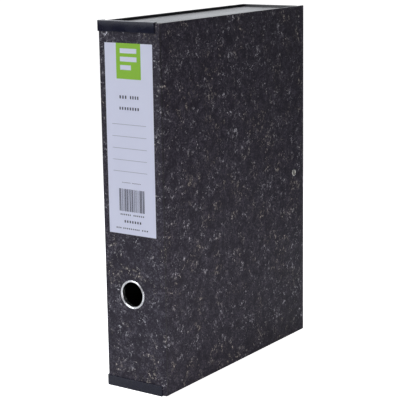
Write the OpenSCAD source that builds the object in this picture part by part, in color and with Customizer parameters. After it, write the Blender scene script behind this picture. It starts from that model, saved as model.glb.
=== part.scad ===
// Foolscap box file: a hinged board case with a recessed tray, a sprung paper clip and a push-button catch.
// Frame: +Z runs up the spine, X runs across the spine from the base cover (-X) to the lid (+X),
// Y runs from the spine (-Y) to the fore-edge (+Y). The origin is the middle of the plane it stands on.

/* [Case] */
// Height over the spine caps
file_h = 370; // [340:1:400]
// Depth from the face of the spine caps to the fore-edge of the lid
file_d = 266; // [245:1:280]
// Width across the spine, from the cap's wrap to the lid's outer face
file_w = 75; // [70:1:90]
// How far the lid stands past the fore-edge wall
lid_overhang = 7.5; // [4.5:0.1:9]
// How far the head and tail walls sit inside the edges of the covers
wall_recess = 2.4; // [2:0.1:6]

/* [Boards] */
// Thickness of the base and lid boards
board_t = 2.2; // [1.8:0.1:2.5]
// Thickness of the spine board, the fore-edge wall and the head and tail walls
wall_t = 2.4; // [2:0.1:2.8]
// Thickness of each covering paper, lining or pasted sheet
paper_t = 0.3; // [0.2:0.05:0.35]
// Rounding of the folded corner between the spine and the base
fold_r = 2; // [1:0.1:2.5]
// Gap from the wall edges to the lid's inner sheets
lid_clearance = 0.4; // [0.3:0.1:1]

/* [Lid hinge] */
// Distance from the spine's face to the crease that the lid turns on
crease_y = 3.5; // [3:0.1:4.5]
// Distance from the spine's face to the edge of the lid board
lid_start_y = 5; // [4.8:0.1:7]
// Height of the hinge line above the joint strip, which the crease is pressed round
crease_lift = 0.2; // [0.1:0.05:0.5]
// Width of the inner joint strip on the lid and on the spine
joint_strip_w = 14; // [8:1:20]

/* [Spine fittings] */
// Thickness of the spine caps
cap_t = 1.3; // [0.6:0.1:1.5]
// How far the caps stand past the ends of the covers
cap_proud = 1; // [0.6:0.1:1.4]
// Height of the spine caps
cap_h = 10.5; // [8:0.5:14]
// Distance from the lid's outer face to the end of the caps
cap_end_gap = 5.2; // [5:0.1:10]
// How far the caps wrap onto the base cover
cap_wrap = 10; // [6:1:20]
// Width of the spine label
label_w = 57.5; // [40:0.5:60]
// Height of the spine label
label_h = 188; // [100:0.5:195]
// Height of the label's lower edge
label_z = 161; // [150:0.5:170]
// Offset of the label towards the lid
label_x = 0.1; // [-1:0.1:1]
// Outer diameter of the finger ring
ring_od = 29.4; // [28:0.1:32]
// Inner diameter of the finger ring
ring_id = 25; // [22:0.1:26]
// Height of the finger ring's centre
ring_z = 100; // [60:0.5:110]
// Offset of the finger ring towards the lid
ring_x = -2; // [-3:0.1:3]

/* [Paper clip] */
// Height of the clip's middle
clip_z = 185; // [150:1:220]
// Distance from the spine's inner face to the clip's pivot
clip_pivot_in = 19.3; // [15:0.1:25]
// Height of the clip's pivot above the base lining
clip_pivot_up = 5.6; // [5.4:0.1:6]
// Radius of the pivot pin
pin_r = 2; // [1.5:0.1:2.1]
// Half width of the clip's base plate
plate_hw = 27; // [26.5:0.5:32]
// Half width of the clip's arm
arm_hw = 24; // [20:0.5:24]
// Thickness of the clip's sheet steel
steel_t = 1.2; // [0.8:0.1:1.2]

/* [Catch] */
// Height of the catch's middle
catch_z = 186.5; // [150:0.5:220]
// Distance from the lid's outer face to the button's axis
button_in = 17; // [16:0.5:18]
// Radius of the push button
button_r = 5; // [4:0.1:5]
// How far the button stands out of the fore-edge wall
button_out = 3.9; // [3.5:0.1:4.3]
// Travel of the push button
button_travel = 2; // [1.5:0.1:2]
// Distance from the lid's fore-edge to the catch eyelet
eyelet_in = 20.3; // [18:0.1:22]

/* [Hidden] */
$fn = 64;

// Case planes across the spine (X)
x_cap = -file_w / 2;
x_base = x_cap + cap_t;
x_base_board = x_base + paper_t;
x_base_in = x_base_board + board_t;
x_base_lining = x_base_in + paper_t;
x_lid = file_w / 2;
x_lid_board = x_lid - paper_t;
x_lid_in = x_lid_board - board_t;
x_lid_lining = x_lid_in - paper_t;
x_index = x_lid_lining - paper_t;
x_wall_top = x_index - lid_clearance;
x_spine_edge = x_lid - paper_t;

// Case planes from the spine to the fore-edge (Y)
y_cap = -file_d / 2;
y_spine = y_cap + cap_t;
y_spine_board = y_spine + paper_t;
y_spine_in = y_spine_board + wall_t;
y_spine_lining = y_spine_in + paper_t;
y_lid_start = y_spine + lid_start_y;
y_lid_end = file_d / 2;
y_wall_out = y_lid_end - lid_overhang;
y_wall_in = y_wall_out - wall_t;

// Case planes up the spine (Z)
z_lo = cap_proud;
z_hi = file_h - cap_proud;
z_tail_out = z_lo + wall_recess;
z_tail_in = z_tail_out + wall_t;
z_head_out = z_hi - wall_recess;
z_head_in = z_head_out - wall_t;

// Small sizes shared by the fittings
hole_slack = 0.05;      // radial slack around a rivet or barrel in board
cut_margin = 3;         // how far the cutting tools run past the faces
running_slack = 0.06;   // radial slack of a shaft that turns or slides
sheet_end = 8;          // margin of the pasted sheets inside the lid
strip_end = 4;          // margin of the inner joint strip from the head and tail walls

// Finger ring: flange, barrel and rolled lip
ring_flange_t = 0.9;
ring_barrel_t = 0.7;
ring_lip_t = 0.3;
washer_t = 0.8;
ring_hole_r = ring_id / 2 + ring_barrel_t + hole_slack;
ring_inner_h = paper_t + wall_t + paper_t + washer_t;

// Clip: plate, pivot and the centre line of the arm, in the plan of the case
clip_x = x_base_lining + clip_pivot_up;
clip_y = y_spine_in + clip_pivot_in;
plate_t = 1;
plate_back = 8;
plate_front = 68;
ear_r = 4;
ear_t = 1.2;
pin_head_r = 3.2;
pin_head_t = 1.2;
pin_head_gap = 0.3;
arm_heel = [clip_x + 4.6, clip_y - 3];
arm_bend = [clip_x + 5, clip_y + 5];
arm_foot = [clip_x - 1.8, clip_y + 44];
arm_toe = [clip_x - 1.8, clip_y + 54];
arm_tip = [clip_x + 1.6, clip_y + 58.5];
cheek_front = [clip_x + 1.6, clip_y + 24.5];
cheek_low = [clip_x - 1.9, clip_y + 12];
cheek_root = [clip_x - 3.2, clip_y + 2.5];
pad_hw = 20;
pad_margin = 0.5;
pad_lift = 0.1;
spring_in_r = 2.6;
spring_out_r = 3.6;
spring_z = [-14, -4];
spring_leg = [1, 14];

// Rivets of the clip
rivet_r = 1.5;
rivet_head_r = 2.8;
rivet_back_r = 3.2;
rivet_head_t = 0.8;
rivet_back_t = 0.9;
clip_rivet_y = [clip_y + 16, clip_y + 58];
clip_rivet_dz = 18;

// Catch: button axis, latch frame, housing and hook, measured inwards from the wall's inner face
button_x = x_lid - button_in;
bezel_r = 8.5;
bezel_t = 0.8;
bezel_barrel_r = 6.8;
button_dome_r = 14;
frame_gap = 0.1;
frame_t = 0.8;
frame_hw = 9;
frame_arm_t = 1;
frame_bar = [9.8, 7.8];
bar_x = [button_x - 3, button_x + 1];
housing_t = 1;
housing_depth = 17.7;
housing_hw = 11;
housing_x = [button_x - 9, button_x + 10];
flange_hw = 19;
hook_t = 1;
hook_hw = 6;
hook_leg_in = 6.5;
hook_lip_in = 9;
hook_plate_in = 16;
lip_t = 1.2;
lip_gap = 0.4;
latch_spring_r = [1.7, 2.5];
catch_rivet_r = 1.2;
catch_rivet_head_r = 2.4;
catch_rivet_head_t = 0.7;
catch_rivet_dz = 15.5;
catch_rivet_x = [button_x - 5, button_x + 6];

// Eyelet that fastens the hook to the lid
eyelet_y = y_lid_end - eyelet_in;
eyelet_od = 7.5;
eyelet_bore_r = 1.9;
eyelet_barrel_r = 2.4;
eyelet_flange_t = 0.5;

// Axis-aligned block between its low and high corners
module slab(lo, hi) {
    translate(lo)
        cube(hi - lo);
}

// Cylinder that starts at p and runs along +X
module rod_x(p, r, len) {
    translate(p)
        rotate([0, 90, 0])
            cylinder(r = r, h = len);
}

// Cylinder that starts at p and runs along +Y
module rod_y(p, r, len) {
    translate(p)
        rotate([-90, 0, 0])
            cylinder(r = r, h = len);
}

// Rectangle of w by d whose corner at the origin is rounded
module corner_block(w, d, r) {
    intersection() {
        square([w, d]);
        union() {
            translate([r, 0])
                square([w, d]);
            translate([0, r])
                square([w, d]);
            translate([r, r])
                circle(r);
        }
    }
}

// Unit normal of the line from p to q, to its left
function left_of(p, q) = let(run = (q - p) / norm(q - p)) [-run[1], run[0]];

// Mitred normal at point i of a line: the sides of a strip of half thickness h lie h times this away
function mitre(line, i) =
    let(
        last = len(line) - 1,
        before = left_of(line[max(i, 1) - 1], line[max(i, 1)]),
        after = left_of(line[min(i, last - 1)], line[min(i, last - 1) + 1])
    )
    (before + after) / (1 + before * after);

// Plan of a bent strip of sheet t thick along a line, with mitred bends
module bent_strip(line, t) {
    last = len(line) - 1;
    polygon(concat(
        [for (i = [0 : last]) line[i] + mitre(line, i) * t / 2],
        [for (i = [last : -1 : 0]) line[i] - mitre(line, i) * t / 2]
    ));
}

// Round head with a shallow dome, standing on the plane z = 0
module dome_head(r, t) {
    dome = (r * r + t * t) / (2 * t);
    intersection() {
        cylinder(r = r, h = t);
        translate([0, 0, t - dome])
            sphere(r = dome, $fn = 96);
    }
}

// Holes along X for the clip's rivets, through everything on the base
module clip_rivet_holes() {
    for (y = clip_rivet_y)
        for (side = [-1, 1])
            rod_x([x_base - cut_margin, y, clip_z + side * clip_rivet_dz],
                  rivet_r + hole_slack, x_base_lining + plate_t - x_base + 2 * cut_margin);
}

// Holes along Y for the catch's rivets, through the fore-edge wall and the housing's flange
module catch_rivet_holes() {
    for (x = catch_rivet_x)
        for (side = [-1, 1])
            rod_y([x, y_wall_in - cut_margin, catch_z + side * catch_rivet_dz],
                  catch_rivet_r + hole_slack, wall_t + 2 * cut_margin);
}

// Hole along Y through the spine for the barrel of the finger ring
module ring_hole() {
    rod_y([ring_x, y_spine - cut_margin, ring_z], ring_hole_r, ring_inner_h + 2 * cut_margin);
}

// Hole along Y through the fore-edge wall for the barrel of the button's bezel
module bezel_hole() {
    rod_y([button_x, y_wall_in - cut_margin, catch_z], bezel_barrel_r + hole_slack, wall_t + 2 * cut_margin);
}

// Hole along X through the lid for the barrel of the catch eyelet
module eyelet_hole() {
    rod_x([x_index - cut_margin, eyelet_y, catch_z],
          eyelet_barrel_r + hole_slack, x_lid - x_index + 2 * cut_margin);
}

// Base cover, the full-height board that carries the spine and the walls
module base_board() {
    color("dimgray")
        difference() {
            translate([x_base_board, y_spine_board, z_lo])
                linear_extrude(z_hi - z_lo)
                    corner_block(board_t, y_wall_out - y_spine_board, fold_r - paper_t);
            clip_rivet_holes();
        }
}

// Spine board with the finger hole
module spine_board() {
    color("dimgray")
        difference() {
            slab([x_base_in, y_spine_board, z_lo], [x_spine_edge, y_spine_in, z_hi]);
            ring_hole();
        }
}

// Fore-edge wall, as tall as the covers
module fore_edge_wall() {
    color("#202226")
        difference() {
            slab([x_base_in, y_wall_in, z_lo], [x_wall_top, y_wall_out, z_hi]);
            bezel_hole();
            catch_rivet_holes();
        }
}

// Head wall of the tray
module head_wall() {
    color("#33363c")
        slab([x_base_in, y_spine_in, z_head_in], [x_wall_top, y_wall_in, z_head_out]);
}

// Tail wall of the tray
module tail_wall() {
    color("#33363c")
        slab([x_base_in, y_spine_in, z_tail_out], [x_wall_top, y_wall_in, z_tail_in]);
}

// Paper lining inside the base
module base_lining() {
    color("#2b2d31")
        difference() {
            slab([x_base_in, y_spine_lining, z_tail_in], [x_base_lining, y_wall_in, z_head_in]);
            clip_rivet_holes();
        }
}

// Paper lining inside the spine
module spine_lining() {
    color("#2b2d31")
        difference() {
            slab([x_base_in, y_spine_in, z_tail_in], [x_wall_top, y_spine_lining, z_head_in]);
            ring_hole();
        }
}

// Marbled paper on the outside of the base and the spine, folded round their common corner
module tray_cover_paper() {
    color("#3a3a40")
        difference() {
            union() {
                translate([x_base, y_spine, z_lo])
                    linear_extrude(z_hi - z_lo)
                        intersection() {
                            difference() {
                                corner_block(file_w, file_d, fold_r);
                                translate([paper_t, paper_t])
                                    corner_block(file_w, file_d, fold_r - paper_t);
                            }
                            square([board_t, y_wall_out - y_spine]);
                        }
                slab([x_base + board_t, y_spine, z_lo], [x_spine_edge, y_spine_board, z_hi]);
            }
            clip_rivet_holes();
            ring_hole();
        }
}

// Marbled joint strip between the spine and the lid, with the crease pressed into it
module hinge_strip() {
    color("#3a3a40")
        difference() {
            slab([x_spine_edge, y_spine, z_lo], [x_lid, y_lid_start, z_hi]);
            translate([x_lid + crease_lift, y_spine + crease_y, 0])
                cylinder(r = crease_lift + paper_t / 3, h = file_h);
        }
}

// Inner joint strip, pasted onto the spine lining and the lid lining
module hinge_lining_strip() {
    lo_z = z_tail_in + strip_end;
    hi_z = z_head_in - strip_end;
    color("#26282c") {
        slab([x_index - joint_strip_w, y_spine_lining, lo_z], [x_index, y_spine_lining + paper_t, hi_z]);
        slab([x_index, y_spine_lining, lo_z], [x_lid_lining, y_spine_lining + joint_strip_w, hi_z]);
    }
}

// Plan of a spine cap: a leg on the spine and a leg on the base, joined by a rounded corner
module cap_plan() {
    difference() {
        corner_block(x_lid - cap_end_gap - x_cap, cap_wrap, fold_r + cap_t);
        translate([cap_t, cap_t])
            corner_block(file_w, file_d, fold_r);
    }
}

// Spine cap in its own frame: its outer edge at z = 0, its skirt running to z = cap_h
module spine_cap() {
    translate([x_cap, y_cap, 0])
        linear_extrude(cap_h)
            cap_plan();
    translate([x_cap, y_cap, 0])
        linear_extrude(cap_proud) {
            corner_block(x_lid - cap_end_gap - x_cap, y_spine_in + cap_t - y_cap, fold_r + cap_t);
            corner_block(x_base_in - x_cap, cap_wrap, fold_r + cap_t);
        }
    slab([x_base_in, y_spine_in, 0], [x_lid - cap_end_gap, y_spine_in + cap_t, z_tail_out]);
}

// Cap over the top end of the spine
module spine_cap_top() {
    color("#202432")
        translate([0, 0, file_h])
            mirror([0, 0, 1])
                spine_cap();
}

// Cap over the bottom end of the spine
module spine_cap_bottom() {
    color("#202432")
        spine_cap();
}

// Printed paper label on the spine
module spine_label() {
    color("#cfd2e0")
        slab([label_x - label_w / 2, y_spine - paper_t / 2, label_z],
             [label_x + label_w / 2, y_spine, label_z + label_h]);
}

// Finger ring: a flanged barrel through the spine, with its lip rolled over the washer
module finger_ring() {
    color("silver")
        translate([ring_x, y_spine, ring_z])
            rotate([90, 0, 0])
                rotate_extrude()
                    union() {
                        translate([ring_id / 2, 0])
                            square([(ring_od - ring_id - ring_flange_t) / 2, ring_flange_t]);
                        translate([(ring_od - ring_flange_t) / 2, ring_flange_t / 2])
                            circle(ring_flange_t / 2);
                        translate([ring_id / 2, -ring_inner_h])
                            square([ring_barrel_t, ring_inner_h + ring_flange_t]);
                        translate([ring_id / 2, -ring_inner_h - ring_lip_t])
                            square([2 * ring_barrel_t, ring_lip_t]);
                    }
}

// Washer behind the finger ring, against the spine lining
module finger_ring_washer() {
    color("silver")
        difference() {
            rod_y([ring_x, y_spine_lining, ring_z], ring_od / 2, washer_t);
            ring_hole();
        }
}

// Base plate of the paper clip, with two ears for the pivot pin
module clip_base_plate() {
    color("lightsteelblue")
        difference() {
            union() {
                slab([x_base_lining, clip_y - plate_back, clip_z - plate_hw],
                     [x_base_lining + plate_t, clip_y + plate_front, clip_z + plate_hw]);
                for (z = [clip_z - plate_hw, clip_z + plate_hw - ear_t])
                    translate([0, 0, z])
                        linear_extrude(ear_t) {
                            translate([x_base_lining, clip_y - ear_r])
                                square([clip_pivot_up, 2 * ear_r]);
                            translate([clip_x, clip_y])
                                circle(ear_r);
                        }
            }
            translate([clip_x, clip_y, clip_z - plate_hw - cut_margin])
                cylinder(r = pin_r + hole_slack, h = 2 * (plate_hw + cut_margin));
            clip_rivet_holes();
        }
}

// Rivets through the base plate and the base cover, with domed heads outside
module clip_rivets() {
    color("silver")
        for (y = clip_rivet_y)
            for (side = [-1, 1])
                translate([0, y, clip_z + side * clip_rivet_dz]) {
                    rod_x([x_base, 0, 0], rivet_r, x_base_lining + plate_t - x_base);
                    translate([x_base_lining + plate_t, 0, 0])
                        rotate([0, 90, 0])
                            dome_head(rivet_head_r, rivet_head_t);
                    translate([x_base, 0, 0])
                        rotate([0, -90, 0])
                            dome_head(rivet_back_r, rivet_back_t);
                }
}

// Pivot pin of the clip, headed at both ends
module clip_pivot_pin() {
    reach = plate_hw + pin_head_gap;
    color("silver")
        translate([clip_x, clip_y, clip_z]) {
            translate([0, 0, -reach])
                cylinder(r = pin_r, h = 2 * reach);
            for (z = [-reach - pin_head_t, reach])
                translate([0, 0, z])
                    cylinder(r = pin_head_r, h = pin_head_t);
        }
}

// Torsion spring round the pin: its coil as one sleeve, with a leg on the plate and one under the arm
module clip_spring() {
    color("gray")
        translate([clip_x, clip_y, clip_z]) {
            translate([0, 0, spring_z[0]])
                linear_extrude(spring_z[1] - spring_z[0])
                    difference() {
                        circle(spring_out_r);
                        circle(spring_in_r);
                    }
            translate([-spring_out_r, 0, spring_z[0]])
                cube([spring_leg[0], spring_leg[1], spring_leg[0]]);
            translate([spring_out_r - spring_leg[0], 0, spring_z[1] - spring_leg[0]])
                cube([spring_leg[0], spring_leg[1] / 2, spring_leg[0]]);
        }
}

// Plan of the arm's top strip, from its heel over the pivot to the turned-up tip
module arm_strip_plan() {
    bent_strip([arm_heel, arm_bend, arm_foot, arm_toe, arm_tip], steel_t);
}

// Plan of one cheek of the arm, round the pivot
module arm_cheek_plan() {
    translate([clip_x, clip_y])
        circle(ear_r);
    polygon([arm_heel, arm_bend, cheek_front, cheek_low, cheek_root]);
}

// Sprung arm of the clip: a channel that turns on the pin
module clip_arm() {
    color("lightsteelblue")
        difference() {
            union() {
                translate([0, 0, clip_z - arm_hw])
                    linear_extrude(2 * arm_hw)
                        arm_strip_plan();
                for (z = [clip_z - arm_hw, clip_z + arm_hw - steel_t])
                    translate([0, 0, z])
                        linear_extrude(steel_t)
                            arm_cheek_plan();
            }
            translate([clip_x, clip_y, clip_z - arm_hw - cut_margin])
                cylinder(r = pin_r + running_slack, h = 2 * (arm_hw + cut_margin));
        }
}

// Pad under the flat foot of the arm, which grips the papers
module clip_tip_pad() {
    color("#1c1c1e")
        slab([x_base_lining + plate_t + pad_lift, arm_foot[1] + pad_margin, clip_z - pad_hw],
             [arm_foot[0] - steel_t / 2, arm_toe[1] - pad_margin, clip_z + pad_hw]);
}

// Catch housing: an open-topped pressed box with a flange against the fore-edge wall
module catch_housing() {
    y_back = y_wall_in - housing_depth;
    color("lightsteelblue")
        difference() {
            union() {
                slab([housing_x[0], y_wall_in - housing_t, catch_z - flange_hw],
                     [housing_x[1], y_wall_in, catch_z + flange_hw]);
                difference() {
                    slab([housing_x[0], y_back, catch_z - housing_hw],
                         [housing_x[1], y_wall_in, catch_z + housing_hw]);
                    slab([housing_x[0] + housing_t, y_back + housing_t, catch_z - housing_hw + housing_t],
                         [housing_x[1] + cut_margin, y_wall_in - housing_t, catch_z + housing_hw - housing_t]);
                }
            }
            bezel_hole();
            catch_rivet_holes();
        }
}

// Rivets that hold the catch housing to the fore-edge wall
module catch_rivets() {
    color("silver")
        for (x = catch_rivet_x)
            for (side = [-1, 1])
                translate([x, 0, catch_z + side * catch_rivet_dz]) {
                    rod_y([0, y_wall_in - housing_t, 0], catch_rivet_r, wall_t + housing_t);
                    translate([0, y_wall_out, 0])
                        rotate([-90, 0, 0])
                            dome_head(catch_rivet_head_r, catch_rivet_head_t);
                    translate([0, y_wall_in - housing_t, 0])
                        rotate([90, 0, 0])
                            dome_head(catch_rivet_head_r, catch_rivet_head_t);
                }
}

// Bezel that guides the push button through the fore-edge wall
module catch_bezel() {
    color("silver")
        difference() {
            union() {
                rod_y([button_x, y_wall_out, catch_z], bezel_r, bezel_t);
                rod_y([button_x, y_wall_in - housing_t, catch_z], bezel_barrel_r, wall_t + housing_t);
            }
            rod_y([button_x, y_wall_in - cut_margin, catch_z], button_r + running_slack, wall_t + 2 * cut_margin);
        }
}

// Push button with a shallow domed end
module catch_button() {
    button_back = y_wall_in - housing_t - frame_gap;
    button_len = y_wall_out + button_out - button_back;
    color("silver")
        translate([button_x, button_back, catch_z])
            rotate([-90, 0, 0])
                intersection() {
                    cylinder(r = button_r, h = button_len);
                    translate([0, 0, button_len - button_dome_r])
                        sphere(r = button_dome_r, $fn = 96);
                }
}

// Latch frame behind the button, whose bar lies over the lip of the hook
module catch_frame() {
    y_front = y_wall_in - housing_t - frame_gap;
    y_bar = y_wall_in - frame_bar[0];
    color("gray") {
        slab([button_x - button_r, y_front - frame_t, catch_z - frame_hw],
             [button_x + button_r, y_front, catch_z + frame_hw]);
        slab([bar_x[0], y_bar, catch_z - frame_hw],
             [bar_x[1], y_wall_in - frame_bar[1], catch_z + frame_hw]);
        for (z = [catch_z - frame_hw, catch_z + frame_hw - frame_arm_t])
            slab([bar_x[0], y_bar, z], [bar_x[1], y_front, z + frame_arm_t]);
    }
}

// Compression spring that returns the latch frame, its coil as one sleeve
module catch_spring() {
    y_back = y_wall_in - housing_depth + housing_t;
    y_bar = y_wall_in - frame_bar[0];
    color("gray")
        difference() {
            rod_y([button_x - 1, y_back, catch_z], latch_spring_r[1], y_bar - y_back);
            rod_y([button_x - 1, y_back - cut_margin, catch_z], latch_spring_r[0], y_bar - y_back + 2 * cut_margin);
        }
}

// Lid board, the full-size cover opposite the base
module lid_board() {
    color("dimgray")
        difference() {
            slab([x_lid_in, y_lid_start, z_lo], [x_lid_board, y_lid_end, z_hi]);
            eyelet_hole();
        }
}

// Marbled paper on the outside of the lid
module lid_cover_paper() {
    color("#3a3a40")
        difference() {
            slab([x_lid_board, y_lid_start, z_lo], [x_lid, y_lid_end, z_hi]);
            eyelet_hole();
        }
}

// Paper lining inside the lid
module lid_lining() {
    color("#2b2d31")
        difference() {
            slab([x_lid_lining, y_lid_start, z_tail_in], [x_lid_in, y_wall_in, z_head_in]);
            eyelet_hole();
        }
}

// Ruled index sheet pasted inside the lid
module index_sheet() {
    color("#e6e4dc")
        slab([x_index, y_spine_lining + joint_strip_w + sheet_end, z_tail_in + sheet_end],
             [x_lid_lining, y_wall_in - hook_plate_in - sheet_end, z_head_in - sheet_end]);
}

// Hook under the lid: a plate, a leg and the lip that the latch frame holds
module catch_hook() {
    lip_top = bar_x[0] - lip_gap;
    y_leg = y_wall_in - hook_leg_in;
    color("gray")
        difference() {
            union() {
                slab([x_lid_lining - hook_t, y_wall_in - hook_plate_in, catch_z - hook_hw],
                     [x_lid_lining, y_leg + hook_t, catch_z + hook_hw]);
                slab([lip_top - lip_t, y_leg, catch_z - hook_hw],
                     [x_lid_lining, y_leg + hook_t, catch_z + hook_hw]);
                slab([lip_top - lip_t, y_wall_in - hook_lip_in, catch_z - hook_hw],
                     [lip_top, y_leg + hook_t, catch_z + hook_hw]);
            }
            rod_x([x_lid_lining - hook_t - cut_margin, eyelet_y, catch_z],
                  eyelet_barrel_r + hole_slack, hook_t + 2 * cut_margin);
        }
}

// Eyelet that fastens the hook to the lid, its flange on the lid's outer face
module catch_eyelet() {
    grip = board_t + 2 * paper_t + hook_t;
    color("silver")
        translate([x_lid, eyelet_y, catch_z])
            rotate([0, 90, 0])
                rotate_extrude()
                    union() {
                        translate([eyelet_bore_r, 0])
                            square([(eyelet_od - eyelet_flange_t) / 2 - eyelet_bore_r, eyelet_flange_t]);
                        translate([(eyelet_od - eyelet_flange_t) / 2, eyelet_flange_t / 2])
                            circle(eyelet_flange_t / 2);
                        translate([eyelet_bore_r, -grip])
                            square([eyelet_barrel_r - eyelet_bore_r, grip + eyelet_flange_t]);
                        translate([eyelet_bore_r, -grip - eyelet_flange_t])
                            square([2 * (eyelet_barrel_r - eyelet_bore_r), eyelet_flange_t]);
                    }
}

base_board();
spine_board();
fore_edge_wall();
head_wall();
tail_wall();
base_lining();
spine_lining();
tray_cover_paper();
hinge_strip();
hinge_lining_strip();
spine_cap_top();
spine_cap_bottom();
spine_label();
finger_ring();
finger_ring_washer();
clip_base_plate();
clip_rivets();
clip_pivot_pin();
clip_spring();
clip_arm();
clip_tip_pad();
catch_housing();
catch_rivets();
catch_bezel();
catch_spring();
catch_button();
catch_frame();
lid_board();
lid_cover_paper();
lid_lining();
index_sheet();
catch_hook();
catch_eyelet();
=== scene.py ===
"""Looks of a foolscap box file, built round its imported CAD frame.

Lengths in this script are millimetres; piece() turns them into metres.
X runs across the spine towards the lid, Y from the spine to the fore-edge, and Z up the spine.
"""

import math
import random

import bmesh
import bpy
from mathutils import Matrix, Vector


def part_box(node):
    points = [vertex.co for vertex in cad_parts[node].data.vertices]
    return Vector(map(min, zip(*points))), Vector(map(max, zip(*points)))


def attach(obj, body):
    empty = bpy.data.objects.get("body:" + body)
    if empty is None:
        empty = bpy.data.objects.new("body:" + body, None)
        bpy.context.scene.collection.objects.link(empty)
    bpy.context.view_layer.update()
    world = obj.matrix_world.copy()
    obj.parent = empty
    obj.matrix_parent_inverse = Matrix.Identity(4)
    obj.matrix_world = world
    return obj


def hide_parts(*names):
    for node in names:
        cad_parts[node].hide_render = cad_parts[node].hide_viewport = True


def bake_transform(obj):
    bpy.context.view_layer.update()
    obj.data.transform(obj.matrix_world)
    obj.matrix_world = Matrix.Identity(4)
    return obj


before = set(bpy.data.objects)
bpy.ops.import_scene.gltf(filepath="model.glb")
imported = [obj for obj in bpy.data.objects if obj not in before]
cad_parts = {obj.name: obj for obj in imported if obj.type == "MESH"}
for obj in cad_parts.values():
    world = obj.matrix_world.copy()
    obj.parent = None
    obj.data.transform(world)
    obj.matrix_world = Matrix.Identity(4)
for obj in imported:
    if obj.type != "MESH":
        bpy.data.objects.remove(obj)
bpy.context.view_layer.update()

MM = 0.001

# Camera: where it looks from, as angles and a distance from its target
CAMERA_AZIMUTH = 35.065
CAMERA_ELEVATION = 12.092
CAMERA_ROLL = -0.885
CAMERA_DISTANCE = 1437.6
CAMERA_TARGET = Vector((-11.26, 0.15, 170.7))
CAMERA_LENS = 121.637
CAMERA_SENSOR = 36

# Studio: how strong the world's light is from the sides and from the lit backdrop behind the case,
# and how bright the world is to look at
WORLD_SIDE = 0.22
WORLD_BACKDROP = 1.6
WORLD_SEEN = 1.2
COOL_WHITE = (0.93, 0.955, 1)

# Where the backdrop is, and how closely a direction must agree with it to be dark or fully lit
BACKDROP_WAY = Vector((-0.57, 0.79, 0.21)).normalized()
BACKDROP_EDGE = (0.75, 0.97)

# Floor: its size, and the distances, in metres, between which its bounce of light fades out
FLOOR_HALF = 6000
FLOOR_T = 20
FLOOR_FADE = (0.45, 1.3)

# Paper and boards
PAPER_T = 0.3
COVER_ROUND = 0.45
LID_INNER_ROUND = 0.8
WALL_ROUND = 0.45
FOLD_R = 2
BEAD_R = 1.0
GROOVE_DEPTH = 1.7
GROOVE_W = 1.9
GROOVE_FOOT_SHARE = 0.45
GROOVE_FADE_FROM = 60
GROOVE_FADE_RUN = 90
JOINT_OVERLAP = 2.2
PRINT_T = 0.04

# Spine caps
CAP_ROUND = 0.35
CAP_END_R = 2.4

# How far a cutting shape runs past the faces that it cuts
OVERSHOOT = 1

# Points on one turn of a coil
COIL_STEPS = 24


def corners(node):
    """Lowest and highest corner of a CAD node, in mm."""
    lo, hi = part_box(node)
    return lo / MM, hi / MM


# ---------------------------------------------------------------- node graphs


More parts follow.
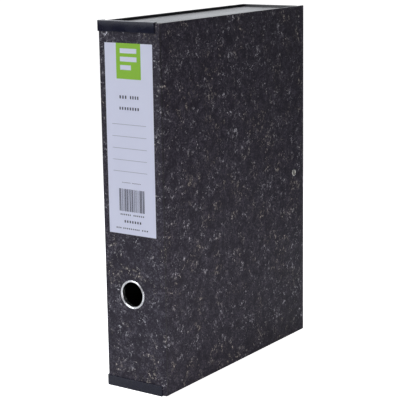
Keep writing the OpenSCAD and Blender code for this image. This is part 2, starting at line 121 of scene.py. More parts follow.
class Paint:
    """A material's node graph, built a node at a time."""

    def __init__(self, name):
        self.material = bpy.data.materials.new(name)
        self.material.use_nodes = True
        self.tree = self.material.node_tree
        self.shader = self.tree.nodes["Principled BSDF"]
        self.place = self.add("ShaderNodeTexCoord").outputs["Object"]

    def add(self, kind, **settings):
        node = self.tree.nodes.new(kind)
        for key, value in settings.items():
            setattr(node, key, value)
        return node

    def feed(self, socket, value):
        """Links a socket or sets a plain value."""
        if isinstance(value, bpy.types.NodeSocket):
            self.tree.links.new(value, socket)
        else:
            socket.default_value = value

    def stretch(self, scale, shift=(0, 0, 0)):
        """The object's own coordinates, in metres, scaled along each axis."""
        node = self.add("ShaderNodeMapping")
        self.feed(node.inputs["Vector"], self.place)
        self.feed(node.inputs["Scale"], scale)
        self.feed(node.inputs["Location"], shift)
        return node.outputs["Vector"]

    def shifted(self, *shift):
        """The object's own coordinates moved aside, so that two noises differ."""
        return self.stretch((1, 1, 1), shift)

    def noise(self, scale, detail=2, roughness=0.5, distortion=0, vector=None, output="Fac"):
        node = self.add("ShaderNodeTexNoise")
        self.feed(node.inputs["Vector"], vector or self.place)
        self.feed(node.inputs["Scale"], scale)
        self.feed(node.inputs["Detail"], detail)
        self.feed(node.inputs["Roughness"], roughness)
        self.feed(node.inputs["Distortion"], distortion)
        return node.outputs[output]

    def remap(self, value, lo, hi, to_lo=0.0, to_hi=1.0):
        node = self.add("ShaderNodeMapRange", interpolation_type="SMOOTHSTEP")
        self.feed(node.inputs["Value"], value)
        self.feed(node.inputs["From Min"], lo)
        self.feed(node.inputs["From Max"], hi)
        self.feed(node.inputs["To Min"], to_lo)
        self.feed(node.inputs["To Max"], to_hi)
        return node.outputs["Result"]

    def math(self, operation, a, b=0.0):
        node = self.add("ShaderNodeMath", operation=operation)
        self.feed(node.inputs[0], a)
        self.feed(node.inputs[1], b)
        return node.outputs[0]

    def mix(self, share, a, b):
        node = self.add("ShaderNodeMix", data_type="RGBA")
        self.feed(node.inputs["Factor"], share)
        self.feed(node.inputs[6], a)
        self.feed(node.inputs[7], b)
        return node.outputs[2]

    def warp(self, scale, reach):
        """Coordinates pushed about by a soft noise, up to reach mm each way."""
        push = self.add("ShaderNodeVectorMath", operation="SUBTRACT")
        self.feed(push.inputs[0], self.noise(scale, detail=1, output="Color"))
        self.feed(push.inputs[1], (0.5, 0.5, 0.5))
        sized = self.add("ShaderNodeVectorMath", operation="SCALE")
        self.feed(sized.inputs[0], push.outputs[0])
        self.feed(sized.inputs["Scale"], 2 * reach * MM)
        moved = self.add("ShaderNodeVectorMath", operation="ADD")
        self.feed(moved.inputs[0], self.place)
        self.feed(moved.inputs[1], sized.outputs[0])
        return moved.outputs[0]

    def finish(self, colour, roughness, height=None, strength=0.2, distance=0.05, **plain):
        """Feeds the shader: colour, roughness, a bump height with its depth in mm, and plain values."""
        self.feed(self.shader.inputs["Base Color"], colour)
        self.feed(self.shader.inputs["Roughness"], roughness)
        if height is not None:
            bump = self.add("ShaderNodeBump")
            self.feed(bump.inputs["Height"], height)
            self.feed(bump.inputs["Strength"], strength)
            self.feed(bump.inputs["Distance"], distance * MM)
            self.feed(self.shader.inputs["Normal"], bump.outputs[0])
        for key, value in plain.items():
            self.shader.inputs[key.replace("_", " ")].default_value = value
        return self.material


def ridge(paint, value, middle, width):
    """1 along the line where a noise passes its middle value, falling to 0 on both sides."""
    away = paint.math("ABSOLUTE", paint.math("SUBTRACT", value, middle))
    return paint.remap(away, 0.0, width, 1.0, 0.0)


def marbled_paper():
    """Dark paper with pale marbling: short curled strokes and specks, bright in clusters, faint between."""
    p = Paint("marbled_paper")
    warped = p.warp(160, 3)
    strokes = ridge(p, p.noise(240, 2, 0.5, 0.9, warped), 0.5, 0.045)
    curls = ridge(p, p.noise(420, 2, 0.55, 1.1, p.shifted(0.31, 0.17, 0.23)), 0.5, 0.06)
    broken = p.remap(p.noise(290, 2, 0.5, 0, p.shifted(0.12, 0.9, 0.5)), 0.48, 0.66)
    specks = p.remap(p.noise(560, 2, 0.5, 0.4, p.shifted(0.5, 0.2, 0.8)), 0.62, 0.74)
    loose = p.remap(p.noise(85, 3, 0.6, 0.4), 0.45, 0.66, 0.08, 1.0)
    tight = p.remap(p.noise(60, 2, 0.6, 0.3, p.shifted(0.7, 0.4, 0.9)), 0.52, 0.68)
    drawn = p.math("MAXIMUM", p.math("MULTIPLY", strokes, loose), p.math("MULTIPLY", curls, tight))
    fine = p.math("MULTIPLY", drawn, broken)
    flecks = p.math("POWER", p.math("MAXIMUM", fine, p.math("MULTIPLY", specks, loose)), 1.3)
    cloud = p.remap(p.noise(110, 5, 0.7, 0.5), 0.38, 0.66)
    mottle = p.remap(p.noise(650, 4, 0.7), 0.42, 0.66)
    haze = p.math("MULTIPLY", cloud, mottle)
    ground = p.mix(haze, (0.0112, 0.0078, 0.0178, 1), (0.105, 0.094, 0.122, 1))
    tint = p.mix(p.remap(p.noise(30, 1), 0.45, 0.6), (0.78, 0.765, 0.82, 1), (0.8, 0.72, 0.62, 1))
    colour = p.mix(flecks, ground, tint)
    grain = p.noise(1400, 3, 0.6)
    rough = p.remap(p.noise(500, 2), 0.3, 0.7, 0.52, 0.66)
    return p.finish(colour, rough, grain, 0.35, 0.06, Specular_IOR_Level=0.4)


def black_paper():
    """Satin black covering paper with faint streaks along the depth of the case."""
    p = Paint("black_paper")
    streaks = p.noise(1, 4, 0.6, 0, p.stretch((700, 14, 700)))
    fibre = p.noise(900, 3, 0.6)
    colour = p.mix(fibre, (0.009, 0.009, 0.011, 1), (0.02, 0.02, 0.024, 1))
    rough = p.remap(streaks, 0.3, 0.7, 0.26, 0.42)
    height = p.math("ADD", streaks, p.math("MULTIPLY", fibre, 0.5))
    return p.finish(colour, rough, height, 0.12, 0.03)


def lining_paper():
    """Plain dark lining paper, duller than the walls' paper."""
    p = Paint("lining_paper")
    fibre = p.noise(700, 4, 0.65)
    blotch = p.noise(35, 3)
    colour = p.mix(fibre, (0.016, 0.016, 0.019, 1), (0.034, 0.034, 0.04, 1))
    rough = p.remap(blotch, 0.3, 0.7, 0.55, 0.72)
    return p.finish(colour, rough, fibre, 0.25, 0.05)


def cap_plastic():
    """Navy-black moulded plastic with a fine spark-eroded grain."""
    p = Paint("cap_plastic")
    grain = p.noise(2200, 2, 0.5)
    wear = p.noise(60, 3)
    colour = p.mix(wear, (0.0045, 0.005, 0.0165, 1), (0.007, 0.008, 0.022, 1))
    rough = p.remap(wear, 0.3, 0.7, 0.22, 0.32)
    return p.finish(colour, rough, grain, 0.12, 0.02)


def label_paper():
    """Coated cool-white label paper."""
    p = Paint("label_paper")
    fibre = p.noise(600, 4, 0.6)
    tone = p.noise(25, 2)
    colour = p.mix(tone, (0.635, 0.65, 0.785, 1), (0.68, 0.695, 0.825, 1))
    rough = p.remap(fibre, 0.3, 0.7, 0.45, 0.6)
    return p.finish(colour, rough, fibre, 0.08, 0.02)


def print_ink(name, light, dark, roughness=0.5):
    """Printing ink whose density varies a little with the paper under it."""
    p = Paint(name)
    density = p.noise(900, 3, 0.6)
    colour = p.mix(density, light, dark)
    rough = p.remap(density, 0.3, 0.7, roughness - 0.06, roughness + 0.06)
    return p.finish(colour, rough, density, 0.06, 0.01)


def plated_metal(name, light, dark, roughness, wear_scale=140):
    """Plated metal with soft handling marks and a very fine brushed grain."""
    p = Paint(name)
    wear = p.noise(wear_scale, 4, 0.6)
    scratch = p.noise(1, 2, 0.5, 0, p.stretch((300, 300, 3000)))
    colour = p.mix(wear, light, dark)
    rough = p.remap(wear, 0.3, 0.7, roughness * 0.8, roughness * 1.25)
    return p.finish(colour, rough, scratch, 0.06, 0.01, Metallic=1.0)


def pad_rubber():
    """Matt black rubber with a fine pimpled face."""
    p = Paint("pad_rubber")
    grain = p.noise(1600, 3, 0.6)
    colour = p.mix(grain, (0.012, 0.012, 0.012, 1), (0.028, 0.028, 0.027, 1))
    return p.finish(colour, p.remap(grain, 0.3, 0.7, 0.65, 0.85), grain, 0.4, 0.08)


def index_paper():
    """Uncoated off-white paper for the ruled index."""
    p = Paint("index_paper")
    fibre = p.noise(800, 5, 0.65)
    tone = p.noise(18, 2)
    colour = p.mix(tone, (0.76, 0.745, 0.68, 1), (0.82, 0.81, 0.75, 1))
    return p.finish(colour, p.remap(fibre, 0.3, 0.7, 0.7, 0.85), fibre, 0.15, 0.03)


MARBLED = marbled_paper()
BLACK = black_paper()
LINING = lining_paper()
CAP = cap_plastic()
LABEL = label_paper()
INDEX = index_paper()
GREEN = print_ink("green_ink", (0.27, 0.53, 0.035, 1), (0.235, 0.48, 0.03, 1))
DARK_INK = print_ink("dark_ink", (0.06, 0.062, 0.085, 1), (0.035, 0.036, 0.055, 1))
GREY_INK = print_ink("grey_ink", (0.36, 0.38, 0.45, 1), (0.31, 0.33, 0.4, 1))
NICKEL = plated_metal("nickel_plate", (0.95, 0.955, 0.97, 1), (0.88, 0.885, 0.9, 1), 0.24)
PALE_NICKEL = plated_metal("pale_nickel_plate", (0.95, 0.93, 0.88, 1), (0.86, 0.84, 0.79, 1), 0.2)
ZINC = plated_metal("zinc_steel", (0.6, 0.615, 0.64, 1), (0.47, 0.48, 0.5, 1), 0.33, 90)
SPRING = plated_metal("spring_steel", (0.46, 0.47, 0.49, 1), (0.33, 0.34, 0.36, 1), 0.26, 300)
RUBBER = pad_rubber()


# ---------------------------------------------------------------- mesh tools


def piece(name, bm, material, body=None, replaces=(), smooth=35):
    """Turns a bmesh in mm into a piece that rides on a body."""
    bmesh.ops.recalc_face_normals(bm, faces=bm.faces)
    bmesh.ops.scale(bm, vec=(MM, MM, MM), verts=bm.verts)
    mesh = bpy.data.meshes.new(name)
    bm.to_mesh(mesh)
    bm.free()
    mesh.materials.append(material)
    mesh.polygons.foreach_set("use_smooth", [True] * len(mesh.polygons))
    mesh.set_sharp_from_angle(angle=math.radians(smooth))
    obj = bpy.data.objects.new(name, mesh)
    bpy.context.scene.collection.objects.link(obj)
    if body:
        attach(obj, body)
    if replaces:
        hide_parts(*replaces)
    return obj


def slab(bm, lo, hi):
    """Adds a block between two corners."""
    lo, hi = Vector(lo), Vector(hi)
    middle, size = (lo + hi) / 2, hi - lo
    for v in bmesh.ops.create_cube(bm, size=1)["verts"]:
        v.co = middle + Vector([c * s for c, s in zip(v.co, size)])


def prism(bm, outline, axis, start, stop):
    """Adds an outline, given in the other two axes in X-Y-Z order, run along an axis."""
    def at(point, level):
        a, b = point
        return {"x": (level, a, b), "y": (a, level, b), "z": (a, b, level)}[axis]

    low = [bm.verts.new(at(p, start)) for p in outline]
    high = [bm.verts.new(at(p, stop)) for p in outline]
    bm.faces.new(low)
    bm.faces.new(list(reversed(high)))
    count = len(outline)
    for i in range(count):
        j = (i + 1) % count
        bm.faces.new([low[j], low[i], high[i], high[j]])


def arc(centre, radius, start, stop, steps=8):
    """Points of an arc in a plane, with its angles in degrees."""
    angles = [math.radians(start + (stop - start) * i / steps) for i in range(steps + 1)]
    return [(centre[0] + radius * math.cos(a), centre[1] + radius * math.sin(a)) for a in angles]


def round_edges(bm, width, segments=3, pick=None, angle=30):
    """Rounds the edges that turn by more than an angle and that pick accepts."""
    limit = math.radians(angle)
    chosen = [e for e in bm.edges if len(e.link_faces) == 2 and e.calc_face_angle(0) > limit]
    if pick:
        chosen = [e for e in chosen if pick(e.verts[0].co, e.verts[1].co)]
    bmesh.ops.bevel(
        bm, geom=chosen, offset=width, segments=segments, profile=0.5, affect="EDGES", clamp_overlap=True
    )


def lathe(bm, profile, centre, axis, steps=96):
    """Turns a closed profile of (radius, distance along the axis) points round an axis."""
    rings = []
    for i in range(steps):
        a = 2 * math.pi * i / steps
        c, s = math.cos(a), math.sin(a)
        ring = []
        for r, h in profile:
            offset = {"x": (h, r * c, r * s), "y": (r * c, h, r * s), "z": (r * c, r * s, h)}[axis]
            ring.append(bm.verts.new(Vector(centre) + Vector(offset)))
        rings.append(ring)
    count = len(profile)
    for i in range(steps):
        here, there = rings[i], rings[(i + 1) % steps]
        for j in range(count):
            k = (j + 1) % count
            bm.faces.new([here[j], here[k], there[k], there[j]])
    bmesh.ops.remove_doubles(bm, verts=bm.verts, dist=1e-5)


def tube(bm, path, radius, sides=12):
    """Adds a round wire along a path, with flat ends."""
    path = [Vector(p) for p in path]
    last = len(path) - 1
    runs = [(path[min(i + 1, last)] - path[max(i - 1, 0)]).normalized() for i in range(last + 1)]
    side = runs[0].orthogonal().normalized()
    rings = []
    for point, run in zip(path, runs):
        side = (side - run * side.dot(run)).normalized()
        other = run.cross(side)
        angles = [2 * math.pi * k / sides for k in range(sides)]
        ways = [side * math.cos(a) + other * math.sin(a) for a in angles]
        rings.append([bm.verts.new(point + way * radius) for way in ways])
    for here, there in zip(rings, rings[1:]):
        for k in range(sides):
            m = (k + 1) % sides
            bm.faces.new([here[k], here[m], there[m], there[k]])
    bm.faces.new(list(reversed(rings[0])))
    bm.faces.new(rings[-1])


def cutter(make):
    """A throwaway object for a boolean, made by a function that fills a bmesh."""
    bm = bmesh.new()
    make(bm)
    bmesh.ops.recalc_face_normals(bm, faces=bm.faces)
    bmesh.ops.scale(bm, vec=(MM, MM, MM), verts=bm.verts)
    mesh = bpy.data.meshes.new("cutter")
    bm.to_mesh(mesh)
    bm.free()
    obj = bpy.data.objects.new("cutter", mesh)
    bpy.context.scene.collection.objects.link(obj)
    return obj


def cut(obj, make, smooth=35):
    """Cuts a shape out of a piece and keeps the result as its mesh."""
    tool = cutter(make)
    step = obj.modifiers.new("cut", "BOOLEAN")
    step.operation = "DIFFERENCE"
    step.solver = "EXACT"
    step.object = tool
    evaluated = obj.evaluated_get(bpy.context.evaluated_depsgraph_get())
    mesh = bpy.data.meshes.new_from_object(evaluated)
    obj.modifiers.clear()
    obj.data = mesh
    bpy.data.objects.remove(tool)
    mesh.polygons.foreach_set("use_smooth", [True] * len(mesh.polygons))
    mesh.set_sharp_from_angle(angle=math.radians(smooth))


def rod(bm, centre, axis, radius, start, stop, steps=96):
    """Adds a cylinder along an axis through a centre, between two places on that axis."""
    c = Vector(centre)
    plane = {"x": (c.y, c.z), "y": (c.x, c.z), "z": (c.x, c.y)}[axis]
    prism(bm, arc(plane, radius, 0, 360 - 360 / steps, steps - 1), axis, start, stop)


def dress(node, material, soften=None):
    """Gives a CAD node its material, and softens its sheet edges if a width is given."""
    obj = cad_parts[node]
    obj.data.materials.clear()
    obj.data.materials.append(material)
    if soften:
        weld = obj.modifiers.new("weld", "WELD")
        weld.merge_threshold = 1e-6
        bevel = obj.modifiers.new("soften", "BEVEL")
        bevel.width = soften * MM
        bevel.segments = 2
        bevel.limit_method = "ANGLE"
        bevel.angle_limit = math.radians(40)
        bevel.harden_normals = True
    return obj


# ---------------------------------------------------------------- the case


def tray_cover():
    """Base and spine boards wrapped in one marbled sheet, with a rounded fold and folded edges."""
    board_lo, board_hi = corners("base_board")
    paper_lo = corners("tray_cover_paper")[0]
    spine_lo, spine_hi = corners("spine_board")
    joint_hi = corners("hinge_strip")[1]
    washer_lo, washer_hi = corners("finger_ring_washer")
    washer_rim = 2
    bead = (joint_hi.x - BEAD_R, paper_lo.y + BEAD_R)
    seam_x = joint_hi.x - JOINT_OVERLAP
    outline = [(seam_x, paper_lo.y), (seam_x, spine_lo.y)]
    outline += arc(bead, BEAD_R - PAPER_T, -90, 0)
    outline += [(spine_hi.x, spine_hi.y), (board_hi.x, spine_hi.y)]
    outline += [(board_hi.x, board_hi.y), (paper_lo.x, board_hi.y)]
    outline += arc((paper_lo.x + FOLD_R, paper_lo.y + FOLD_R), FOLD_R, 180, 270)
    bm = bmesh.new()
    prism(bm, outline, "z", board_lo.z, board_hi.z)

    def head_or_tail(a, b):
        return abs(a.z - b.z) < 1e-3 and max(a.x, b.x) < seam_x + 0.1

    round_edges(bm, COVER_ROUND, pick=head_or_tail)
    replaced = ["base_board", "spine_board", "tray_cover_paper"]
    obj = piece("tray_cover", bm, MARBLED, "box", replaced)

    centre = (washer_lo + washer_hi) / 2
    hole_r = (washer_hi.x - washer_lo.x) / 2 - washer_rim
    y_from, y_to = paper_lo.y - 2 * OVERSHOOT, spine_hi.y + 2 * OVERSHOOT
    cut(obj, lambda bm: rod(bm, centre, "y", hole_r, y_from, y_to))
    bind_edges(obj, LINING, BLACK)
    return obj


def groove(y, z, y_from):
    """Depth of the pressed joint at a place, deepest in its middle and shallower near the foot."""
    share = (y - y_from) / GROOVE_W
    if not 0 < share < 1:
        return 0.0
    rise = min(1, max(0, (z - GROOVE_FADE_FROM) / GROOVE_FADE_RUN))
    fade = GROOVE_FOOT_SHARE + (1 - GROOVE_FOOT_SHARE) * rise
    return GROOVE_DEPTH * fade * math.sin(math.pi * share) ** 2


def ribbon(bm, rows):
    """Closes rows of (outer, inner) point pairs into a solid strip; each row is one level."""
    grid = [[[bm.verts.new(p) for p in pair] for pair in row] for row in rows]
    for here, there in zip(grid, grid[1:]):
        for (a, b), (c, d) in zip(zip(here, here[1:]), zip(there, there[1:])):
            bm.faces.new([a[0], b[0], d[0], c[0]])
            bm.faces.new([a[1], c[1], d[1], b[1]])
        for end in (0, -1):
            bm.faces.new([here[end][0], here[end][1], there[end][1], there[end][0]])
    for row in (grid[0], grid[-1]):
        for a, b in zip(row, row[1:]):
            bm.faces.new([a[0], b[0], b[1], a[1]])


def offset_line(points, distance):
    """A plan line moved sideways by a distance."""
    moved = []
    last = len(points) - 1
    for i, p in enumerate(points):
        run = Vector(points[min(i + 1, last)]) - Vector(points[max(i - 1, 0)])
        run.normalize()
        moved.append((p[0] - run.y * distance, p[1] + run.x * distance))
    return moved


def joint_paper():
    """Outer joint: the marbled sheet from the spine, round its bead, through the groove and onto the lid."""
    lo, hi = corners("hinge_strip")
    bead = (hi.x - BEAD_R, lo.y + BEAD_R)
    y_from, y_to = bead[1] + 0.05, hi.y
    steps_y = 34
    steps_z = 40
    rows = []
    for k in range(steps_z + 1):
        z = lo.z + (hi.z - lo.z) * k / steps_z
        line = [(hi.x - JOINT_OVERLAP, lo.y), (hi.x - JOINT_OVERLAP + 0.4, lo.y)]
        line += arc(bead, BEAD_R, -90, 0, 10)
        for i in range(steps_y + 1):
            y = y_from + (y_to - y_from) * i / steps_y
            line.append((hi.x - groove(y, z, y_from), y))
        inner = offset_line(line, PAPER_T)
        rows.append([((*a, z), (*b, z)) for a, b in zip(line, inner)])
    bm = bmesh.new()
    ribbon(bm, rows)
    obj = piece("joint_paper", bm, MARBLED, replaces=["hinge_strip"], smooth=60)
    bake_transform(obj)
    return obj


def inner_joint_paper():
    """Inner joint: plain paper from the spine lining across the gap onto the lid lining."""
    lo, hi = corners("hinge_lining_strip")
    bend_r = 1.2
    centre = (hi.x - bend_r, lo.y + bend_r)
    outer = [(lo.x, lo.y)]
    outer += arc(centre, bend_r, -90, 0, 10)
    count = 40
    crowding = 1.6
    start_y = lo.y + bend_r
    run = hi.y - start_y
    outer += [(hi.x, start_y + run * (i / count) ** crowding) for i in range(1, count + 1)]
    inner = offset_line(outer, PAPER_T)
    steps_z = 12
    rows = []
    for k in range(steps_z + 1):
        z = lo.z + (hi.z - lo.z) * k / steps_z
        rows.append([((*a, z), (*b, z)) for a, b in zip(outer, inner)])
    bm = bmesh.new()
    ribbon(bm, rows)
    replaced = ["hinge_lining_strip"]
    obj = piece("inner_joint_paper", bm, BLACK, replaces=replaced, smooth=60)
    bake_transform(obj)
    return obj


def lid_cover():
    """Lid board wrapped in marbled paper, its three free edges softly rounded."""
    board_lo, board_hi = corners("lid_board")
    paper_hi = corners("lid_cover_paper")[1]
    eye_lo, eye_hi = corners("catch_eyelet")
    hole_r = 2.45
    bm = bmesh.new()
    slab(bm, board_lo, (paper_hi.x, board_hi.y, board_hi.z))
    inside = board_lo.x + 0.01
    joint_y = board_lo.y + 1

    def inner_free(a, b):
        return max(a.x, b.x) < inside and max(a.y, b.y) > joint_y

    def outer_free(a, b):
        return min(a.x, b.x) > inside and max(a.y, b.y) > joint_y

    round_edges(bm, LID_INNER_ROUND, pick=inner_free)
    round_edges(bm, COVER_ROUND, pick=outer_free)
    obj = piece("lid_cover", bm, MARBLED, "lid", ["lid_board", "lid_cover_paper"])
    centre = (eye_lo + eye_hi) / 2
    cut(obj, lambda bm: rod(bm, centre, "x", hole_r, board_lo.x - OVERSHOOT, paper_hi.x + OVERSHOOT))
    bind_edges(obj, BLACK)
    return obj


def bind_edges(obj, edge, inside=None):
    """Gives the head and tail edges of a board the sheet turned over them, and its inside the lining's."""
    obj.data.materials.append(edge)
    if inside:
        obj.data.materials.append(inside)
    for face in obj.data.polygons:
        if abs(face.normal.z) > 0.75:
            face.material_index = 1
        elif inside and max(face.normal.x, face.normal.y) > 0.75:
            face.material_index = 2


def wall(name):
    """A wall of the tray: board wrapped in satin black paper, its free edges rounded."""
    lo, hi = corners(name)
    bm = bmesh.new()
    slab(bm, lo, hi)
    round_edges(bm, WALL_ROUND)
    return piece(name + "_paper", bm, BLACK, "box", [name])


def fore_edge():
    """Fore-edge wall with round openings for the button's bezel and the rivets."""
    obj = wall("fore_edge_wall")
    lo, hi = corners("fore_edge_wall")
    bezel_lo, bezel_hi = corners("catch_bezel")
    centre = (bezel_lo + bezel_hi) / 2
    y_from, y_to = lo.y - OVERSHOOT, hi.y + OVERSHOOT
    bezel_hole_r = 6.9
    cut(obj, lambda bm: rod(bm, centre, "y", bezel_hole_r, y_from, y_to))
    rivet_lo, rivet_hi = corners("catch_rivets")
    head_r = 2.4
    shank_r = 1.3

    def rivet_holes(bm):
        for x in (rivet_lo.x + head_r, rivet_hi.x - head_r):
            for z in (rivet_lo.z + head_r, rivet_hi.z - head_r):
                rod(bm, (x, 0, z), "y", shank_r, y_from, y_to, 32)

    cut(obj, rivet_holes)
    bind_edges(obj, LINING)
    return obj


def index_sheet():
    """Index pasted inside the lid, with rounded corners, a heading box and ruled lines."""
    lo, hi = corners("index_sheet")
    corner_r = 3
    bm = bmesh.new()
    prism(bm, rounded_rectangle((lo.y, lo.z), (hi.y, hi.z), corner_r), "x", lo.x, hi.x)
    piece("index_paper_sheet", bm, INDEX, "lid", ["index_sheet"])
    bm = bmesh.new()
    margin = 12
    face = lo.x - PRINT_T
    rule = 0.35
    pitch = 9
    heading_h = 14
    first_column = 22
    last_column = 30
    ruled_from = 38
    top = hi.z - ruled_from
    count = int((top - lo.z - margin) / pitch)
    for i in range(count + 1):
        z = top - i * pitch
        slab(bm, (face, lo.y + margin, z - rule / 2), (lo.x, hi.y - margin, z + rule / 2))
    left, right = lo.y + margin, hi.y - margin
    for y in (left, left + first_column, right - last_column, right):
        slab(bm, (face, y - rule / 2, top - count * pitch), (lo.x, y + rule / 2, top))
    for z in (hi.z - margin, hi.z - margin - heading_h):
        slab(bm, (face, lo.y + margin, z - rule), (lo.x, hi.y - margin, z + rule))
    return piece("index_rules", bm, GREY_INK, "lid")


def rounded_rectangle(lo, hi, r):
    """Outline of a rectangle with round corners, counter-clockwise."""
    points = []
    places = [((hi[0] - r, hi[1] - r), 0), ((lo[0] + r, hi[1] - r), 90)]
    places += [((lo[0] + r, lo[1] + r), 180), ((hi[0] - r, lo[1] + r), 270)]
    for centre, start in places:
        points += arc(centre, r, start, start + 90, 6)
    return points


# ---------------------------------------------------------------- spine fittings


def spine_cap(node):
    """Moulded cap over one end of the spine: a skirt round spine and base, an end plate and an inner lip."""
    lo, hi = corners(node)
    spine_lo, spine_hi = corners("spine_board")
    base_lo, base_hi = corners("base_board")
    wall_lo = corners("tail_wall")[0]
    thick = spine_lo.y - PAPER_T - lo.y
    turn_r = FOLD_R + thick
    height = hi.z - lo.z
    inner_y = spine_hi.y + thick
    outline = [(hi.x, lo.y), (hi.x, inner_y), (base_hi.x, inner_y), (base_hi.x, hi.y), (lo.x, hi.y)]
    outline += arc((lo.x + turn_r, lo.y + turn_r), turn_r, 180, 270, 10)
    bm = bmesh.new()
    prism(bm, outline, "z", 0, height)

    def ends(a, b):
        along_y = max(a.x, b.x) > hi.x - 0.01 and abs(a.x - b.x) < 0.01
        along_x = max(a.y, b.y) > hi.y - 0.01 and abs(a.y - b.y) < 0.01
        return min(a.z, b.z) > height - 0.01 and (along_y or along_x)

    round_edges(bm, CAP_END_R, segments=6, pick=ends)
    round_edges(bm, CAP_ROUND, segments=4, angle=50)
    proud = base_lo.z
    open_x, open_y = hi.x + OVERSHOOT, hi.y + OVERSHOOT
    base_x = base_hi.x + OVERSHOOT
    pocket = [(open_x, spine_lo.y - PAPER_T), (open_x, spine_hi.y), (base_x, spine_hi.y)]
    pocket += [(base_x, open_y), (lo.x + thick, open_y)]
    pocket += arc((lo.x + turn_r, lo.y + turn_r), FOLD_R, 180, 270, 10)
    flip_to(bm, lo, hi)
    obj = piece(node + "_moulding", bm, CAP, "box", [node], smooth=40)

    def hollow(bm):
        prism(bm, pocket, "z", proud, height + OVERSHOOT)
        flip_to(bm, lo, hi)

    def lip(bm):
        low = (base_hi.x - 0.01, spine_hi.y - 0.01, wall_lo.z)
        slab(bm, low, (open_x, inner_y + OVERSHOOT, height + OVERSHOOT))
        flip_to(bm, lo, hi)

    cut(obj, hollow)
    cut(obj, lip)
    return obj


def flip_to(bm, lo, hi):
    """Turns a shape made for the bottom cap over for the top cap, if its box is at the top."""
    if lo.z > hi.z - lo.z:
        for v in bm.verts:
            v.co.z = hi.z - v.co.z


# Rows of dashes that stand for words: height of the row, height of a dash, and (from, to, dashes)
DASH_ROWS = [
    (297, 3.1, [(-12.6, -2.6, 3), (0.2, 11.8, 4)]),
    (286, 2.8, [(-13, 12.1, 8)]),
    (212.9, 0.7, [(-11.5, -1, 7), (0.5, 11.5, 8)]),
    (180.7, 1.5, [(-15, -1.4, 6), (1, 15, 6)]),
    (173.9, 2.4, [(-10.5, 11.5, 7)]),
    (166.8, 1.4, [(-20.5, -13.5, 3), (-12, 9, 9), (11, 19.5, 3)]),
]

# Heights of the ruled lines
RULE_HEIGHTS = (270.3, 258.5, 246.8, 235.3, 223.9)


def label():
    """Printed label: a coloured block with plain lines, dashes for words, rules and a bar pattern."""
    lo, hi = corners("spine_label")
    bm = bmesh.new()
    slab(bm, lo, hi)
    round_edges(bm, 0.06, segments=1)
    piece("label_sheet", bm, LABEL, "box", ["spine_label"])
    middle = (lo.x + hi.x) / 2
    face = lo.y

    def mark(bm, x0, x1, z0, z1, layers=1):
        slab(bm, (middle + x0, face - layers * PRINT_T, z0), (middle + x1, face + 0.01, z1))

    block_hw = 14.8
    block_h = 34.4
    bm = bmesh.new()
    mark(bm, -block_hw, block_hw, hi.z - block_h, hi.z)
    piece("label_block", bm, GREEN, "box")

    bm = bmesh.new()
    bar_h = 4.6
    for drop, x0, x1 in ((5, -10, 10), (13, -10, 10), (21, -10, 3)):
        mark(bm, x0, x1, hi.z - drop - bar_h, hi.z - drop, 2)
    piece("label_block_bars", bm, LABEL, "box")

    bm = bmesh.new()
    rule_from, rule_to = -21.9, 19.6
    half_rule = 0.25
    for z in RULE_HEIGHTS:
        mark(bm, rule_from, rule_to, z - half_rule, z + half_rule)
    piece("label_rules", bm, GREY_INK, "box")

    bm = bmesh.new()
    dash_from, dash_to = 0.24, 0.76
    for z, height, groups in DASH_ROWS:
        for x0, x1, count in groups:
            pitch = (x1 - x0) / count
            for i in range(count):
                x = x0 + i * pitch
                left, right = x + dash_from * pitch, x + dash_to * pitch
                mark(bm, left, right, z - height / 2, z + height / 2)
    piece("label_dashes", bm, DARK_INK, "box")

    bm = bmesh.new()
    draw = random.Random(7)
    bars_low, bars_high = 184.1, 206.5
    last_start, bars_end = 15.2, 15.8
    x = -15.4
    while x < last_start:
        width = draw.choice((0.35, 0.35, 0.7, 1.05))
        mark(bm, x, min(x + width, bars_end), bars_low, bars_high)
        x += width + draw.choice((0.4, 0.4, 0.8))
    return piece("label_bars", bm, DARK_INK, "box")


def finger_ring():
    """Pressed finger ring: a rolled outer bead, a dished flange and a barrel through the spine."""
    lo, hi = corners("finger_ring")
    centre = Vector(((lo.x + hi.x) / 2, 0, (lo.z + hi.z) / 2))
    outer = (hi.x - lo.x) / 2
    inner = 12.5
    bead_r = 0.45
    roll_r = 0.75
    foot_r = 0.5
    flare = 1.3
    neck = 0.7
    sheet = 0.3
    face = lo.y + 0.9
    profile = [(outer - 0.02, face)]
    profile += arc((outer - bead_r, face - 0.35), bead_r, 0, -150, 7)
    profile += [(inner + 1.1, face - 0.52)]
    profile += arc((inner + roll_r, face - 0.15), roll_r, -60, -180, 8)
    profile += [(inner, hi.y - foot_r)]
    profile += arc((inner + foot_r, hi.y - foot_r), foot_r, 170, 90, 5)
    profile += [(inner + flare, hi.y), (inner + flare, hi.y - sheet)]
    profile += [(inner + neck, hi.y - sheet), (inner + neck, face)]
    bm = bmesh.new()
    lathe(bm, profile, centre, "y", 128)
    return piece("finger_ring_pressed", bm, NICKEL, "box", ["finger_ring"], smooth=50)


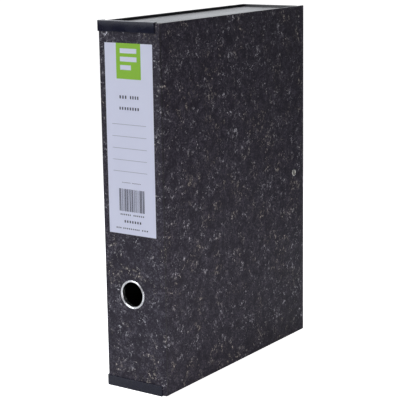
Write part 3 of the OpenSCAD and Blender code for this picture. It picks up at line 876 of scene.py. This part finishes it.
def eyelet():
    """Rolled eyelet in the lid, its barrel through the hook plate."""
    lo, hi = corners("catch_eyelet")
    centre = Vector((0, (lo.y + hi.y) / 2, (lo.z + hi.z) / 2))
    outer = (hi.y - lo.y) / 2
    bore = 1.9
    roll_r = 0.5
    foot_r = 0.4
    flare = 1
    sheet = 0.5
    face = hi.x - roll_r
    profile = [(outer, face)]
    profile += arc((outer - roll_r, face), roll_r, 20, 90, 4)
    profile += arc((bore + roll_r, face), roll_r, 90, 170, 5)
    profile += [(bore, lo.x + foot_r)]
    profile += arc((bore + foot_r, lo.x + foot_r), foot_r, 200, 270, 4)
    profile += [(bore + flare, lo.x), (bore + flare, lo.x + sheet)]
    profile += [(bore + sheet, lo.x + sheet), (bore + sheet, face)]
    bm = bmesh.new()
    lathe(bm, profile, centre, "x", 64)
    return piece("eyelet_rolled", bm, PALE_NICKEL, "lid", ["catch_eyelet"], smooth=50)


# ---------------------------------------------------------------- springs


def clip_spring():
    """Torsion spring of the clip: a helix round the pin with a leg on the plate and one under the arm."""
    lo, hi = corners("clip_spring")
    pin_lo, pin_hi = corners("clip_pivot_pin")
    centre = (pin_lo + pin_hi) / 2
    wire = 0.5
    coil_r = 3.1
    turns = 7.5
    leg = 6
    z0, z1 = lo.z + wire, hi.z - wire
    path = [(centre.x - coil_r, hi.y - wire - i, z0) for i in range(0, int(hi.y - centre.y - wire))]
    steps = int(turns * COIL_STEPS)
    for i in range(steps + 1):
        share = i / steps
        a = math.pi - 2 * math.pi * turns * share
        z = z0 + (z1 - z0) * share
        path.append((centre.x + coil_r * math.cos(a), centre.y - coil_r * math.sin(a), z))
    end = Vector(path[-1])
    path += [(end.x, end.y + i, end.z) for i in range(1, leg + 1)]
    bm = bmesh.new()
    tube(bm, path, wire)
    obj = piece("clip_spring_coil", bm, SPRING, replaces=["clip_spring"], smooth=60)
    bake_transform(obj)
    return obj


def latch_spring():
    """Compression spring behind the latch frame, with closed ends."""
    lo, hi = corners("catch_spring")
    wire = 0.4
    centre = (lo + hi) / 2
    coil_r = (hi.x - lo.x) / 2 - wire
    turns = 5.5
    end_closing = 0.05
    steps = int(turns * COIL_STEPS)
    path = []
    for i in range(steps + 1):
        share = i / steps
        a = 2 * math.pi * turns * share
        ease = share + math.sin(2 * math.pi * (share - 0.5)) * end_closing
        y = lo.y + wire + (hi.y - lo.y - 2 * wire) * ease
        path.append((centre.x + coil_r * math.cos(a), y, centre.z + coil_r * math.sin(a)))
    bm = bmesh.new()
    tube(bm, path, wire, 10)
    obj = piece("latch_spring_coil", bm, SPRING, replaces=["catch_spring"], smooth=60)
    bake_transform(obj)
    return obj


# ---------------------------------------------------------------- stage


def floor():
    """Floor that looks white to the camera, and whose bounce of light fades with distance."""
    p = Paint("studio_floor")
    away = p.add("ShaderNodeVectorMath", operation="LENGTH")
    p.feed(away.inputs[0], p.place)
    uneven = p.math("MULTIPLY", away.outputs["Value"], p.remap(p.noise(2, 2), 0.3, 0.7, 0.95, 1.05))
    p.finish(p.mix(p.remap(uneven, *FLOOR_FADE), (0.92, 0.92, 0.92, 1), (0.1, 0.1, 0.1, 1)), 0.9)
    p.shader.inputs["Emission Color"].default_value = (1, 1, 1, 1)
    seen = p.add("ShaderNodeLightPath").outputs["Is Camera Ray"]
    p.feed(p.shader.inputs["Emission Strength"], p.math("MULTIPLY", seen, 1.0))
    bm = bmesh.new()
    slab(bm, (-FLOOR_HALF, -FLOOR_HALF, -FLOOR_T), (FLOOR_HALF, FLOOR_HALF, 0))
    obj = piece("studio_floor", bm, p.material)


def area_light(name, azimuth, elevation, distance, size, power, colour, aim=(0, 0, 185)):
    """Soft square light aimed at a place on the case."""
    data = bpy.data.lights.new(name, "AREA")
    data.size = size * MM
    data.energy = power
    data.color = colour
    obj = bpy.data.objects.new(name, data)
    bpy.context.scene.collection.objects.link(obj)
    a, e = math.radians(azimuth), math.radians(elevation)
    back = Vector((math.sin(a) * math.cos(e), -math.cos(a) * math.cos(e), math.sin(e)))
    obj.location = (Vector(aim) + back * distance) * MM
    obj.rotation_mode = "QUATERNION"
    obj.rotation_quaternion = (-back).to_track_quat("-Z", "Y")


def studio_world():
    """White to look at; as a light it is dim all round and bright in a patch behind the case."""
    world = bpy.data.worlds.new("studio")
    bpy.context.scene.world = world
    world.use_nodes = True
    tree = world.node_tree
    background = tree.nodes["Background"]
    background.inputs["Color"].default_value = (*COOL_WHITE, 1)
    direction = tree.nodes.new("ShaderNodeTexCoord")
    towards = tree.nodes.new("ShaderNodeVectorMath")
    towards.operation = "DOT_PRODUCT"
    towards.inputs[1].default_value = BACKDROP_WAY
    tree.links.new(direction.outputs["Generated"], towards.inputs[0])
    lit = tree.nodes.new("ShaderNodeMapRange")
    lit.interpolation_type = "SMOOTHSTEP"
    lit.inputs["From Min"].default_value = BACKDROP_EDGE[0]
    lit.inputs["From Max"].default_value = BACKDROP_EDGE[1]
    lit.inputs["To Min"].default_value = WORLD_SIDE
    lit.inputs["To Max"].default_value = WORLD_BACKDROP
    tree.links.new(towards.outputs["Value"], lit.inputs["Value"])
    seen = tree.nodes.new("ShaderNodeLightPath")
    strength = tree.nodes.new("ShaderNodeMix")
    tree.links.new(seen.outputs["Is Camera Ray"], strength.inputs["Factor"])
    tree.links.new(lit.outputs["Result"], strength.inputs["A"])
    strength.inputs["B"].default_value = WORLD_SEEN
    tree.links.new(strength.outputs["Result"], background.inputs["Strength"])


def camera():
    """Camera that looks at its target from its angles and distance, rolled a little."""
    data = bpy.data.cameras.new("camera")
    data.lens = CAMERA_LENS
    data.sensor_width = CAMERA_SENSOR
    data.clip_end = 100
    obj = bpy.data.objects.new("camera", data)
    bpy.context.scene.collection.objects.link(obj)
    a, e = math.radians(CAMERA_AZIMUTH), math.radians(CAMERA_ELEVATION)
    roll = math.radians(CAMERA_ROLL)
    back = Vector((math.sin(a) * math.cos(e), -math.cos(a) * math.cos(e), math.sin(e)))
    level = Vector((math.cos(a), math.sin(a), 0))
    up = back.cross(level)
    right = level * math.cos(roll) + up * math.sin(roll)
    above = up * math.cos(roll) - level * math.sin(roll)
    turn = Matrix((right, above, back)).transposed().to_4x4()
    obj.matrix_world = Matrix.Translation((CAMERA_TARGET + back * CAMERA_DISTANCE) * MM) @ turn
    bpy.context.scene.camera = obj


camera()
studio_world()
floor()
area_light("key", azimuth=-25, elevation=30, distance=1600, size=1200, power=12.4, colour=COOL_WHITE)
area_light(
    "lid_fill", azimuth=70, elevation=6, distance=480, size=300, power=1.0,
    colour=(1, 0.95, 0.98), aim=(37, -70, 30),
)
area_light("overhead", azimuth=-10, elevation=74, distance=1500, size=500, power=6, colour=(0.95, 0.97, 1))
bpy.context.scene.view_settings.view_transform = "Standard"

tray_cover()
lid_cover()
joint_paper()
inner_joint_paper()
wall("head_wall")
wall("tail_wall")
fore_edge()
index_sheet()
spine_cap("spine_cap_top")
spine_cap("spine_cap_bottom")
label()
finger_ring()
eyelet()
clip_spring()
latch_spring()

for lining in ("base_lining", "spine_lining", "lid_lining"):
    dress(lining, LINING)
dress("finger_ring_washer", NICKEL, 0.15)
dress("clip_base_plate", ZINC, 0.2)
dress("clip_rivets", NICKEL)
dress("clip_pivot_pin", NICKEL, 0.25)
dress("clip_arm", ZINC, 0.25)
dress("clip_tip_pad", RUBBER, 0.3)
dress("catch_housing", ZINC, 0.2)
dress("catch_rivets", NICKEL)
dress("catch_bezel", NICKEL, 0.25)
dress("catch_button", NICKEL, 0.3)
dress("catch_frame", SPRING, 0.15)
dress("catch_hook", ZINC, 0.2)
